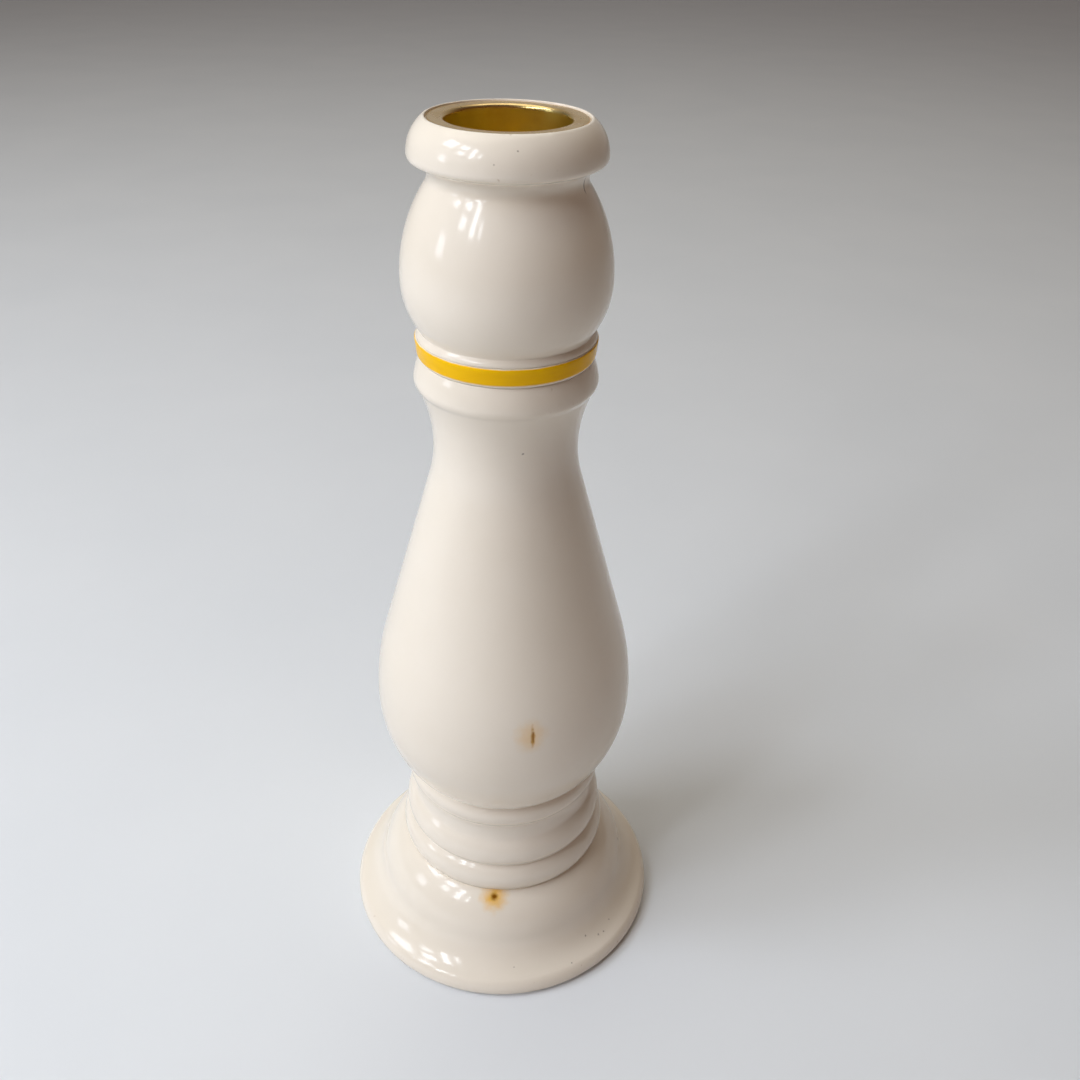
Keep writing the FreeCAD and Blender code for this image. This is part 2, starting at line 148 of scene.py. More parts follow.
def bent(chain, closed):
    """The outline with each chord of an arc bent back into the arc."""
    count = len(chain)
    if closed:
        ring = np.vstack([chain[-3:-1], chain, chain[1:3]])
    else:
        mirror = np.array([-1, 1])
        ring = np.vstack([chain[2:0:-1] * mirror, chain, chain[-2:-4:-1] * mirror])
    bends = [bend(*ring[i - 1:i + 2]) for i in range(1, len(ring) - 1)]
    points = [chain[:1]]
    for i in range(count - 1):
        before, first, second, after = (bends[j] for j in range(i, i + 4))
        start, end = chain[i], chain[i + 1]
        chord = np.linalg.norm(end - start)
        curve = 0.0
        if agree(first, second) or agree(first, before):
            curve = first
        elif agree(second, after):
            curve = second
        if abs(curve) * chord > LARGEST_TURN:
            curve = 0.0
        steps = max(1, round(chord / FINE_STEP))
        t = np.arange(1, steps + 1)[:, None] / steps
        right = np.array([end[1] - start[1], start[0] - end[0]]) / chord
        flat = start + t * (end - start)
        if curve:
            half = chord / 2
            sag = np.sqrt(1 / curve ** 2 - (half * (2 * t - 1)) ** 2)
            sag = sag - math.sqrt(1 / curve ** 2 - half ** 2)
            flat = flat + math.copysign(1, curve) * sag * right
        points.append(flat)
    return np.vstack(points)


def evenly(points, step):
    """The same line with points an even step apart."""
    length = np.r_[0, np.cumsum(np.linalg.norm(np.diff(points, axis=0), axis=1))]
    places = np.linspace(0, length[-1], max(3, round(length[-1] / step) + 1))
    return np.column_stack([np.interp(places, length, points[:, k]) for k in (0, 1)])


def blurred(points, closed, width):
    """Each point moved to the weighted middle of the points around it."""
    reach = int(4 * width / FINE_STEP) + 1
    weights = np.exp(-0.5 * (np.arange(-reach, reach + 1) * FINE_STEP / width) ** 2)
    weights /= weights.sum()
    if closed:
        body = points[:-1]
        turns = reach // len(body) + 1
        longer = np.vstack([body] * (2 * turns + 1) + [body[:1]])
        first = turns * len(body) - reach
        padded = longer[first:first + len(points) + 2 * reach]
    else:
        mirror = np.array([-1, 1])
        reach_in = min(reach, len(points) - 1)
        padded = np.vstack([points[reach_in:0:-1] * mirror, points,
                            points[-2:-2 - reach_in:-1] * mirror])
        weights = weights[reach - reach_in:reach + reach_in + 1]
        weights /= weights.sum()
    result = np.column_stack([np.convolve(padded[:, k], weights, "valid") for k in (0, 1)])
    if not closed:
        result[[0, -1], 0] = 0.0
    return result


def outward_of(points, closed):
    along = np.gradient(points, axis=0)
    if closed:
        along[0] = along[-1] = points[1] - points[-2]
    along /= np.maximum(np.linalg.norm(along, axis=1), 1e-9)[:, None]
    return np.column_stack([along[:, 1], -along[:, 0]])


def thinned(points, tolerance, longest):
    """Which points to keep so that the line stays within the tolerance of itself."""
    keep, last = [0], 0
    for i in range(2, len(points)):
        chord = points[i] - points[last]
        length = np.linalg.norm(chord)
        between = points[last + 1:i] - points[last]
        off = np.abs(between @ np.array([-chord[1], chord[0]])) / max(length, 1e-9)
        if off.max() > tolerance or length > longest:
            keep.append(i - 1)
            last = i - 1
    return keep + [len(points) - 1]


DEEP_HOLLOW = 0.7    # millimetres below its surroundings at which a point is all hollow
SHARP_EDGE = 0.35    # millimetres above its surroundings at which a point is all edge
CRISP_FADE = 0.8    # millimetres over which a crisp stretch passes into a soft one


class Outline:
    """A piece's outline in millimetres, with which way is out and where it is hollow.

    It is softened everywhere but in the crisp range of heights, where the paint of two
    pieces runs across their joint and neither has a rounded edge of its own.
    """

    def __init__(self, name, softening, tolerance=0.003, longest=1.5, crisp=None):
        chain, closed = cut_outlines[name]
        fine = evenly(bent(chain, closed), FINE_STEP)
        soft = blurred(fine, closed, softening)
        if crisp:
            beyond = np.maximum(crisp[0] - fine[:, 1], fine[:, 1] - crisp[1])
            share = np.clip(beyond / CRISP_FADE, 0, 1)[:, None]
            soft = soft * share + fine * (1 - share)
        wide = blurred(fine, closed, WIDE_SOFTENING)
        outward = outward_of(soft, closed)
        standing = ((soft - wide) * outward).sum(axis=1)
        keep = thinned(soft, tolerance, longest)
        self.name = name
        self.points = soft[keep]
        self.outward = outward[keep]
        self.hollow = np.clip(-standing[keep] / DEEP_HOLLOW, 0, 1)
        self.edge = np.clip(standing[keep] / SHARP_EDGE, 0, 1)

    def radius_at(self, height):
        """The outermost radius at a height."""
        radii = [np.interp(height, *zip(*sorted([(a[1], a[0]), (b[1], b[0])])))
                 for a, b in zip(self.points, self.points[1:])
                 if min(a[1], b[1]) <= height <= max(a[1], b[1])]
        return max(radii)

    def place(self, azimuth, height):
        """The point on the outside at an azimuth in degrees and a height, in metres."""
        turn, radius = math.radians(azimuth), self.radius_at(height)
        return Vector((radius * math.cos(turn), radius * math.sin(turn), height)) * MM


# %% [markdown]
# ## Sums that write their own nodes
# Both the shape below and the paints further on are node trees. One small class stands for a
# socket and answers to plus, minus, times and divided by, so a mask can be written as a sum.
# A second one adds a node from its type, its settings and the values of its sockets.

# %% Sockets as values
class Wire:
    def __init__(self, tree, socket):
        self.tree = tree
        self.socket = socket

    def output(self, name):
        return Wire(self.tree, self.socket.node.outputs[name])

    def sum(self, operation, *values):
        return self.tree.node("ShaderNodeMath", {"operation": operation},
                              dict(enumerate(values)))

    def __add__(self, other):
        return self.sum("ADD", self, other)

    def __sub__(self, other):
        return self.sum("SUBTRACT", self, other)

    def __rsub__(self, other):
        return self.sum("SUBTRACT", other, self)

    def __mul__(self, other):
        return self.sum("MULTIPLY", self, other)

    def __truediv__(self, other):
        return self.sum("DIVIDE", self, other)

    def __rtruediv__(self, other):
        return self.sum("DIVIDE", other, self)

    def __pow__(self, other):
        return self.sum("POWER", self, other)

    __radd__ = __add__
    __rmul__ = __mul__


class Tree:
    def __init__(self, nodes):
        self.nodes = nodes

    def node(self, kind, settings=None, values=None):
        node = self.nodes.nodes.new(kind)
        for name, value in (settings or {}).items():
            setattr(node, name, value)
        for key, value in (values or {}).items():
            if isinstance(value, Wire):
                self.nodes.links.new(value.socket, node.inputs[key])
            else:
                node.inputs[key].default_value = value
        return Wire(self, node.outputs[0]) if node.outputs else None

    def between(self, value, low, high):
        """Nothing below low, one above high, and a soft step from one to the other."""
        return self.node("ShaderNodeMapRange", {"interpolation_type": "SMOOTHSTEP"},
                         {"Value": value, 1: low, 2: high, 3: 0.0, 4: 1.0})


# %% [markdown]
# ## A lathe made of nodes
# A grid has one column for each step around the axis and one row for each point of the
# outline. Every grid point looks up its row's point in the outline and turns it by its
# column's angle. Only then are the seam and the ends on the axis merged. A hand-finished
# surface is never quite true, so a slow ripple sinks it by a few hundredths of a millimetre,
# always inwards, which keeps it inside the solid. The flutes of a dowel are cut in the same
# way, as a depth that depends on the angle.

# %% Build the lathe
SAME_SPOT = 1e-6    # metres; the seam and the ends on the axis are merged within this
LATHE_INPUTS = [
    ("Outline", "NodeSocketGeometry", None),
    ("Steps", "NodeSocketInt", 192),
    ("Ripple depth", "NodeSocketFloat", 0.0),
    ("Ripple size", "NodeSocketFloat", 0.02),
    ("Seed", "NodeSocketFloat", 1.0),
    ("Flutes", "NodeSocketInt", 0),
    ("Flute depth", "NodeSocketFloat", 0.0),
    ("Finish", "NodeSocketMaterial", None),
]


def build_lathe():
    group = bpy.data.node_groups.new("Lathe", "GeometryNodeTree")
    for name, kind, value in LATHE_INPUTS:
        socket = group.interface.new_socket(name, in_out="INPUT", socket_type=kind)
        if value is not None:
            socket.default_value = value
    group.interface.new_socket("Piece", in_out="OUTPUT", socket_type="NodeSocketGeometry")
    tree = Tree(group)
    given = tree.node("NodeGroupInput")
    outline, steps = given.output("Outline"), given.output("Steps")
    rows = tree.node("GeometryNodeAttributeDomainSize", {"component": "MESH"},
                     {"Geometry": outline})
    grid = tree.node("GeometryNodeMeshGrid", {}, {"Vertices X": steps + 1, "Vertices Y": rows})
    index = tree.node("GeometryNodeInputIndex")
    row = index.sum("MODULO", index, rows)
    column = index.sum("FLOOR", (index + 0.5) / rows)
    angle = column / steps * math.tau

    def looked_up(kind, value):
        return tree.node("GeometryNodeSampleIndex", {"data_type": kind},
                         {"Geometry": outline, "Value": value, "Index": row})

    def stored(kind, name):
        return tree.node("GeometryNodeInputNamedAttribute", {"data_type": kind}, {"Name": name})

    def turned(vector):
        return tree.node("ShaderNodeVectorRotate", {"rotation_type": "Z_AXIS"},
                         {"Vector": vector, "Angle": angle})

    flat = looked_up("FLOAT_VECTOR", tree.node("GeometryNodeInputPosition"))
    out = looked_up("FLOAT_VECTOR", stored("FLOAT_VECTOR", "outward"))
    place = turned(flat)
    ripple = tree.node("ShaderNodeTexNoise", {"noise_dimensions": "4D"},
                       {"Vector": place, "W": given.output("Seed"), "Detail": 1.0,
                        "Scale": 1 / given.output("Ripple size")})
    sideways = tree.node("ShaderNodeSeparateXYZ", {}, {0: out}).output("X")
    sideways = sideways.sum("MAXIMUM", sideways, 0.0)
    wave = angle * given.output("Flutes")
    flute = (wave.sum("COSINE", wave) * 0.5 + 0.5) ** 4 * given.output("Flute depth")
    depth = ripple * given.output("Ripple depth") + flute * sideways
    sunk = tree.node("ShaderNodeVectorMath", {"operation": "SCALE"},
                     {0: turned(out), "Scale": depth * -1})
    shaped = tree.node("GeometryNodeSetPosition", {},
                       {"Geometry": grid, "Position": place, "Offset": sunk})
    for mask in ("hollow", "edge"):
        shaped = tree.node("GeometryNodeStoreNamedAttribute", {"data_type": "FLOAT"},
                           {"Geometry": shaped, "Name": mask,
                            "Value": looked_up("FLOAT", stored("FLOAT", mask))})
    shaped = tree.node("GeometryNodeMergeByDistance", {}, {0: shaped, "Distance": SAME_SPOT})
    shaped = tree.node("GeometryNodeSetShadeSmooth", {}, {0: shaped, "Shade Smooth": True})
    shaped = tree.node("GeometryNodeRealizeInstances", {}, {0: shaped})
    shaped = tree.node("GeometryNodeSetMaterial", {},
                       {0: shaped, "Material": given.output("Finish")})
    tree.node("NodeGroupOutput", {}, {0: shaped})
    return group


lathe = build_lathe()
print("lathe:", len(lathe.nodes), "nodes")

# %% [markdown]
# ## Using the lathe
# A piece starts as its outline: a line of loose vertices that carries the masks for hollows
# and edges. The lathe is put on it as a modifier, the result is taken as a plain mesh, and
# its volume is printed next to its name, because a turning with its faces the wrong way round
# has a volume below zero.

# %% Turn a piece
def as_mesh_object(outline):
    """The outline as a line of vertices in the XZ plane, with its masks as attributes."""
    count = len(outline.points)
    mesh = bpy.data.meshes.new(outline.name + "_outline")
    spots = [(r * MM, 0, z * MM) for r, z in outline.points]
    mesh.from_pydata(spots, [(i, i + 1) for i in range(count - 1)], [])
    outward = mesh.attributes.new("outward", "FLOAT_VECTOR", "POINT")
    outward.data.foreach_set("vector", [c for r, z in outline.outward for c in (r, 0, z)])
    for mask in ("hollow", "edge"):
        values = mesh.attributes.new(mask, "FLOAT", "POINT")
        values.data.foreach_set("value", getattr(outline, mask).astype(np.float32))
    item = bpy.data.objects.new(mesh.name, mesh)
    bpy.context.scene.collection.objects.link(item)
    return item


def turn_piece(name, outline, finish, slot, body, **settings):
    """Sweep an outline with the lathe and put the result in place of its CAD node."""
    source = as_mesh_object(outline)
    modifier = source.modifiers.new("Lathe", "NODES")
    modifier.node_group = lathe
    for item in lathe.interface.items_tree:
        key = item.name.lower().replace(" ", "_")
        if item.in_out == "INPUT" and key in settings:
            modifier[item.identifier] = settings.pop(key)
        elif item.in_out == "INPUT" and item.name == "Finish":
            modifier[item.identifier] = finish
    assert not settings, f"the lathe has no input called {sorted(settings)}"
    ready = source.evaluated_get(bpy.context.evaluated_depsgraph_get())
    mesh = bpy.data.meshes.new_from_object(ready)
    mesh.name = outline.name + "_turned"
    source.modifiers.remove(modifier)
    bpy.data.objects.remove(source)
    piece = bpy.data.objects.new(name, mesh)
    bpy.context.scene.collection.objects.link(piece)
    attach(piece, body)
    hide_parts(outline.name)
    faces = sum(len(face.vertices) - 2 for face in mesh.polygons)
    print(f"{name}: {len(outline.points)} outline points, {faces} triangles, "
          f"volume {volume_of(mesh) * 1e6:.2f} cm3, {open_edges(mesh)} open edges")
    return piece


def volume_of(mesh):
    total = 0.0
    for face in mesh.polygons:
        corners = [mesh.vertices[i].co for i in face.vertices]
        for b, c in zip(corners[1:], corners[2:]):
            total += corners[0].dot(b.cross(c)) / 6
    return total


def open_edges(mesh):
    uses = {}
    for face in mesh.polygons:
        for key in face.edge_keys:
            uses[key] = uses.get(key, 0) + 1
    return sum(1 for count in uses.values() if count != 2)


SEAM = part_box("neck_ring")[0].z / MM    # where the ring sits on the stem, in millimetres
SEAM_REACH, BEYOND = 0.3, 20.0    # how far to each side of it is crisp; past the piece's end
outlines = {
    "foot": Outline("foot", softening=0.3),
    "stem": Outline("stem", softening=0.38, crisp=(SEAM - SEAM_REACH, SEAM + BEYOND)),
    "neck_ring": Outline("neck_ring", softening=0.12,
                         crisp=(SEAM - BEYOND, SEAM + SEAM_REACH)),
    "head": Outline("head", softening=0.2),
    "head_dowel": Outline("head_dowel", softening=0.1),
    "candle_cup": Outline("candle_cup", softening=0.09, tolerance=0.002, longest=0.8),
    "felt_pad": Outline("felt_pad", softening=0.15, longest=1.0),
}
for name, outline in outlines.items():
    print(f"{name}: {len(outline.points)} points")

# %% [markdown]
# ## Enamel over turned wood
# Gloss enamel is a thick, slightly warm white. What makes it look real is small: it is a
# little darker and yellower in the grooves, partly from paint that pooled there and partly as
# painted shade, its skin is not quite flat, and the wood shows through in a few places. Two
# knots have bled resin through the paint, and there are specks where a bubble burst. All of it
# is worked out from the position on the piece, in metres, so nothing has to be unwrapped.

# %% Helpers for finishes
def linear(red, green, blue):
    """A colour given as it looks on a screen, 0 to 255, as the shader wants it."""
    return tuple((c / 255 / 12.92 if c / 255 <= 0.04045 else ((c / 255 + 0.055) / 1.055) ** 2.4)
                 for c in (red, green, blue)) + (1.0,)


class Finish(Tree):
    """A material in the making, with the few patterns that every finish here uses."""

    def __init__(self, name):
        self.material = bpy.data.materials.new(name)
        self.material.use_nodes = True
        super().__init__(self.material.node_tree)
        self.nodes.nodes.clear()
        self.place = self.node("ShaderNodeTexCoord").output("Object")

    def scaled(self, across, up):
        """The place with its two kinds of distance stretched: around the piece, and along it."""
        return self.node("ShaderNodeVectorMath", {"operation": "MULTIPLY"},
                         {0: self.place, 1: (across, across, up)})

    def noise(self, size, detail=2.0, place=None):
        return self.node("ShaderNodeTexNoise", {},
                         {"Vector": place or self.place, "Scale": 1 / size, "Detail": detail})

    def mask(self, name):
        return self.node("ShaderNodeAttribute", {"attribute_name": name}).output("Fac")

    def mix(self, factor, first, second):
        return self.node("ShaderNodeMix", {"data_type": "RGBA"},
                         {0: factor, 6: first, 7: second}).output("Result")

    def away_from(self, point, wobble, size, stretch=1.0, inward=1.0):
        """The distance from a point, with noise of a size added to it. Height counts as
        much as stretch says, and distance towards the axis as much as inward says."""
        around = Vector((-point[1], point[0], 0)).normalized()
        out = Vector((point[0], point[1], 0)).normalized() * inward
        apart = self.node("ShaderNodeVectorMath", {"operation": "SUBTRACT"},
                          {0: self.place, 1: tuple(point)})
        parts = [self.node("ShaderNodeVectorMath", {"operation": "DOT_PRODUCT"},
                           {0: apart, 1: tuple(direction)}).output("Value")
                 for direction in (around, Vector((0, 0, stretch)), out)]
        joined = self.node("ShaderNodeCombineXYZ", {}, dict(enumerate(parts)))
        distance = self.node("ShaderNodeVectorMath", {"operation": "LENGTH"},
                             {0: joined}).output("Value")
        return distance + (self.noise(size) - 0.5) * wobble

    def stain(self, factor, base, colour):
        """A see-through stain: it takes light away from the base and adds none."""
        return self.node("ShaderNodeMix", {"data_type": "RGBA", "blend_type": "MULTIPLY"},
                         {0: factor, 6: base, 7: colour}).output("Result")

    def bump(self, height):
        return self.node("ShaderNodeBump", {}, {"Strength": 1.0, "Distance": 1.0,
                                                "Height": height})

    def finished(self, **sockets):
        names = {name.replace(" ", "_").lower(): name for name in
                 ("Base Color", "Roughness", "Metallic", "Normal", "IOR", "Sheen Weight",
                  "Sheen Roughness", "Specular IOR Level")}
        surface = self.node("ShaderNodeBsdfPrincipled", {},
                            {names[key]: value for key, value in sockets.items()})
        self.node("ShaderNodeOutputMaterial", {}, {"Surface": surface})
        return self.material


# %% [markdown]
# All the enamel comes from one recipe: white, a darker, yellower white that shows in patches
# and in the hollows, where it is pooled paint and painted shade together, and lists of marks.
# A knot is a halo, with a dark eye in it where the wood is bare, a pit is a pinhole, and a crack
# is a pinhole stretched along the grain. Every size is in metres.

# %% Mix the enamels
SKIN_RIPPLE = 0.000022    # metres high; the slow unevenness of a brushed skin
BRUSH_MARKS = 0.0000045    # and the finer marks on it, in metres too
ORANGE_PEEL = 0.0000012
LATHE_RINGS = 0.0000022
KNOT_DENT, CRACK_DENT, PIT_DENT = 0.00008, 0.00005, 0.00004    # metres deep
MIRROR_SMOOTH = 0.08    # roughness of the enamel where it is at its best
ENAMEL_IOR = 1.5
# The second white is darker and yellower: random patches, the paint that pooled in the hollows,
# and painted shade in those hollows.
WHITE, POOLED_AND_SHADED_WHITE = linear(240, 229, 212), linear(212, 193, 161)
RESIN, OLD_RESIN, DIRT = (1.0, 0.62, 0.10, 1), linear(128, 74, 6), linear(104, 78, 48)


def enamel(name, knots=(), pits=(), cracks=(), chipped=0.5, shine=0.5):
    """White enamel, as its finish so far and what painted() needs to complete it.

    Knots are (place, halo radius, eye radius, strength), pits are (place, radius), and
    cracks are (place, length, width, colour, strength).
    """
    paint = Finish(name)
    patchy = paint.noise(0.03, 3.0)
    hollow, edge = paint.mask("hollow"), paint.mask("edge")
    tight = paint.between(hollow, 0.6, 1.0)
    base = paint.mix((patchy - 0.4) * 0.3, WHITE, POOLED_AND_SHADED_WHITE)
    # Painted shade: where the outline is tightly hollow, the white is darkened and yellowed,
    # together with the paint that pooled there.
    base = paint.mix(tight * (0.3 + 0.6 * patchy), base, POOLED_AND_SHADED_WHITE)
    rings = paint.noise(0.0011, 2.0, paint.scaled(0.05, 1.0))
    marks = paint.noise(0.0024, 2.0, paint.scaled(0.6, 1.0))
    height = (paint.noise(0.0075, 1.0) * SKIN_RIPPLE + marks * BRUSH_MARKS
              + paint.noise(0.0013, 2.0) * ORANGE_PEEL + rings * LATHE_RINGS)
    specks = paint.between(paint.noise(0.0011, 1.0), 0.72, 0.78)
    worn = specks * paint.between(edge, 0.3, 0.9) * chipped
    base = paint.stain(worn, base, (0.55, 0.42, 0.28, 1))
    for point, halo, eye, strength in knots:
        distance = paint.away_from(point, halo * 0.5, 0.0015, stretch=0.85)
        base = paint.stain((1 - paint.between(distance, 0, halo)) * strength, base, RESIN)
        if eye:
            distance = paint.away_from(point, eye * 0.6, 0.0008)
            inside = 1 - paint.between(distance, 0.2 * eye, eye * 1.4)
            base = paint.mix(inside, base, OLD_RESIN)
            height = height - inside * KNOT_DENT
    for point, radius in pits:
        distance = paint.away_from(point, radius * 1.2, 0.0005)
        inside = 1 - paint.between(distance, 0.1 * radius, radius)
        base = paint.mix(inside * 0.6, base, DIRT)
        height = height - inside * PIT_DENT
    for point, length, width, colour_inside, strength in cracks:
        distance = paint.away_from(point, width * 0.4, 0.0009, stretch=width / length,
                                   inward=0.1)
        inside = 1 - paint.between(distance, 0.1 * width, 0.5 * width)
        base = paint.mix(inside * strength, base, colour_inside)
        height = height - inside * CRACK_DENT * strength
    rough = MIRROR_SMOOTH + 0.07 * paint.noise(0.01, 3.0) + 0.1 * tight + 0.3 * worn
    return paint, base, rough, height, shine


def painted(recipe):
    paint, base, rough, height, shine = recipe
    return paint.finished(base_color=base, roughness=rough, normal=paint.bump(height),
                          ior=ENAMEL_IOR, specular_ior_level=shine)


stem_at, foot_at, head_at = (outlines[name].place for name in ("stem", "foot", "head"))
stem_enamel = painted(enamel(
    "white enamel on the stem",
    knots=[(stem_at(-78.6, 76.6), 0.0046, 0, 0.45)],
    pits=[(stem_at(-77.5, 137.0), 0.0003)],
    cracks=[(stem_at(-77.7, 76.2), 0.0072, 0.0013, linear(200, 144, 24), 0.9),
            (stem_at(-77.5, 76.5), 0.0045, 0.0006, OLD_RESIN, 0.7)]))
foot_enamel = painted(enamel(
    "white enamel on the foot",
    knots=[(foot_at(-94.5, 21.1), 0.0044, 0.0009, 1.0)],
    pits=[(foot_at(-51.9, 7.3), 0.00035), (foot_at(-46.3, 6.1), 0.0004),
          (foot_at(-43.6, 5.9), 0.0003), (foot_at(-38.0, 6.6), 0.00025),
          (foot_at(-85.2, 6.3), 0.00025), (foot_at(-62.2, 4.9), 0.0003)],
    cracks=[(foot_at(-3.0, 14.0), 0.0018, 0.0008, DIRT, 0.7)]))
head_enamel = painted(enamel(
    "white enamel on the head",
    pits=[(head_at(-84.6, 193.1), 0.00022), (head_at(-97.3, 191.1), 0.00024)],
    cracks=[(head_at(-25.0, 185.5), 0.005, 0.0006, DIRT, 0.9)]))
print("white enamel:", stem_enamel.name, foot_enamel.name, head_enamel.name)

# %% [markdown]
# The ring is white like its neighbours, and only its band is yellow. The brush stopped short
# of the rounding below, and the sharp upper edge has rubbed pale, so the yellow is kept
# between two heights that waver a little.

# %% Paint the yellow band
ring_low, ring_high = (corner.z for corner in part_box("neck_ring"))
BAND_LOW, BAND_TOP = ring_low + 0.0007, ring_high - 0.00010    # metres
LOW_FADE, TOP_FADE, TOP_RUB = 0.00022, 0.00007, 0.00009    # how softly each edge ends


def ring_paint():
    paint, base, rough, height, shine = enamel("yellow enamel", chipped=0.0, shine=0.12)
    up = paint.node("ShaderNodeSeparateXYZ", {}, {0: paint.place}).output("Z")
    up = up + (paint.noise(0.0025, 2.0) - 0.5) * 0.0002
    band = (paint.between(up, BAND_LOW - LOW_FADE, BAND_LOW + LOW_FADE)
            * (1 - paint.between(up, BAND_TOP - TOP_RUB, BAND_TOP + TOP_FADE)))
    streaks = paint.noise(0.0009, 2.0, paint.scaled(0.12, 1.0))
    yellow = paint.mix(streaks, (0.88, 0.46, 0.0, 1), (1.0, 0.58, 0.0, 1))
    return painted((paint, paint.mix(band, base, yellow), rough, height, shine))


yellow_enamel = ring_paint()
print("band from", round(BAND_LOW, 5), "to", round(BAND_TOP, 5), "m")

# %% [markdown]
# ## Spun brass
# The cup is pressed over a form while it spins, so all its fine scratches run around the
# axis. A noise that hardly changes along a turn, but quickly from turn to turn, gives those
# rings both on the flat flange and down the wall, if it reads the distance from the axis and
# the height. Handling has dulled the brass in patches.

# %% Spin the brass
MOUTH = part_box("candle_cup")[1].z    # the flange's top; below it the bore is lacquered gold
LACQUER = (0.0012, 0.0001)    # metres below the mouth where it is whole, and where it ends


def spun_brass(name):
    brass = Finish(name)
    parts = brass.node("ShaderNodeSeparateXYZ", {}, {0: brass.place})
    flat = brass.node("ShaderNodeCombineXYZ", {}, {0: parts.output("X"), 1: parts.output("Y")})
    from_axis = brass.node("ShaderNodeVectorMath", {"operation": "LENGTH"},
                           {0: flat}).output("Value")
    turns = brass.node("ShaderNodeCombineXYZ", {},
                       {0: from_axis, 1: parts.output("Z"), 2: parts.output("X") * 0.01})
    rings = brass.noise(0.00022, 3.0, turns)
    wide_rings = brass.noise(0.0016, 2.0, turns)
    dull = brass.between(brass.noise(0.006, 4.0) + (wide_rings - 0.5) * 0.5, 0.35, 0.75)
    base = brass.mix(dull, (0.82, 0.60, 0.29, 1), (0.66, 0.46, 0.21, 1))
    inside = 1 - brass.between(parts.output("Z"), MOUTH - LACQUER[0], MOUTH - LACQUER[1])
    base = brass.mix(inside, base, brass.mix(dull, (0.98, 0.80, 0.20, 1),
                                             (0.88, 0.68, 0.14, 1)))
    height = rings * 0.000003 + wide_rings * 0.000004 + brass.noise(0.005, 1.0) * 0.000006
    rough = 0.2 + 0.12 * dull + 0.06 * rings + 0.06 * inside
    return brass.finished(base_color=base, roughness=rough, metallic=1.0,
                          normal=brass.bump(height))


cup_brass = spun_brass("spun brass of the cup")
print("brass:", cup_brass.name)

# %% [markdown]
# ## The unseen pieces
# Under the felt and inside the wood nothing was painted. The dowel is bare beech, whose grain
# shows as fine lines along it with short dark flecks. The screw and its washer are steel with
# a thin, cloudy skin of zinc, and the felt is a mat of short wool fibres.

# %% Wood, zinc and felt
def bare_beech(name):
    wood = Finish(name)
    lines = wood.noise(0.0007, 3.0, wood.scaled(1.0, 0.06))
    flecks = wood.between(wood.noise(0.0005, 1.0, wood.scaled(1.0, 0.18)), 0.62, 0.7)
    base = wood.mix(lines, linear(196, 156, 112), linear(222, 186, 142))
    base = wood.mix(flecks * 0.6, base, linear(150, 100, 62))
    return wood.finished(base_color=base, roughness=0.6 + 0.15 * lines,
                         normal=wood.bump(lines * 0.00003 - flecks * 0.00002))


def zinc_steel(name):
    zinc = Finish(name)
    cloud = zinc.noise(0.002, 4.0)
    base = zinc.mix(cloud, (0.52, 0.53, 0.55, 1), (0.70, 0.71, 0.72, 1))
    return zinc.finished(base_color=base, metallic=1.0, roughness=0.3 + 0.2 * cloud,
                         normal=zinc.bump(zinc.noise(0.0004, 2.0) * 0.000004))


def wool_felt(name):
    felt = Finish(name)
    fibres = felt.noise(0.0003, 5.0)
    tufts = felt.noise(0.0035, 3.0)
    base = felt.mix(fibres, linear(22, 58, 36), linear(52, 104, 70))
    base = felt.mix((tufts - 0.3) * 0.5, base, linear(30, 70, 46))
    return felt.finished(base_color=base, roughness=0.95, sheen_weight=0.5,
                         sheen_roughness=0.5, normal=felt.bump(fibres * 0.00022))


beech, zinc, felt = bare_beech("bare beech"), zinc_steel("zinc plated steel"), wool_felt("felt")

# %% [markdown]
# ## Turning the pieces
# Each call below takes one outline through the lathe. The piece then rides on the body that
# its CAD node belongs to and stands in for that node. The cup is on a body of its own,
# because it lifts out.

# %% Turn every turned piece
turn_piece("painted_foot", outlines["foot"], foot_enamel, "white_enamel", "stand",
           ripple_depth=0.00004, ripple_size=0.02, seed=2.0)
turn_piece("painted_stem", outlines["stem"], stem_enamel, "white_enamel", "stand",
           ripple_depth=0.00005, ripple_size=0.024, seed=5.0)
turn_piece("yellow_ring", outlines["neck_ring"], yellow_enamel, "yellow_enamel", "stand",
           ripple_depth=0.00003, ripple_size=0.012, seed=8.0)
turn_piece("painted_head", outlines["head"], head_enamel, "white_enamel", "stand",
           ripple_depth=0.00004, ripple_size=0.018, seed=11.0)
turn_piece("fluted_dowel", outlines["head_dowel"], beech, "bare_hardwood", "stand",
           flutes=20, flute_depth=0.0003)
turn_piece("spun_candle_cup", outlines["candle_cup"], cup_brass, "spun_brass", "cup",
           ripple_depth=0.00002, ripple_size=0.008, seed=14.0)
turn_piece("wool_felt", outlines["felt_pad"], felt, "green_felt", "stand",
           ripple_depth=0.0002, ripple_size=0.004, seed=17.0)

# %% [markdown]
# ## Pieces that keep their own shape
# The screw and its washer are already right as plain solids, so they only get a finish.

# %% Finish the screw and the washer
for name, finish in [("foot_screw", zinc), ("screw_washer", zinc)]:
    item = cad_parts[name]
    item.data.materials.clear()
    item.data.materials.append(finish)
    print(f"{name}: {finish.name}")

# %% [markdown]
# ## The floor
# The floor is plain and pale, and wide enough to end far behind the candlestick.

# %% Lay the floor
def plain_floor():
    mesh = bpy.data.meshes.new("floor")
    reach = 4.0
    mesh.from_pydata([(-reach, -reach, 0), (reach, -reach, 0), (reach, reach, 0),
                      (-reach, reach, 0)], [], [(0, 1, 2, 3)])
    paint = Finish("pale floor")
    mesh.materials.append(paint.finished(
        base_color=paint.mix(paint.noise(0.08, 3.0), linear(222, 225, 228),
                             linear(230, 232, 234)), roughness=0.5))
    item = bpy.data.objects.new("floor", mesh)
    bpy.context.scene.collection.objects.link(item)


plain_floor()

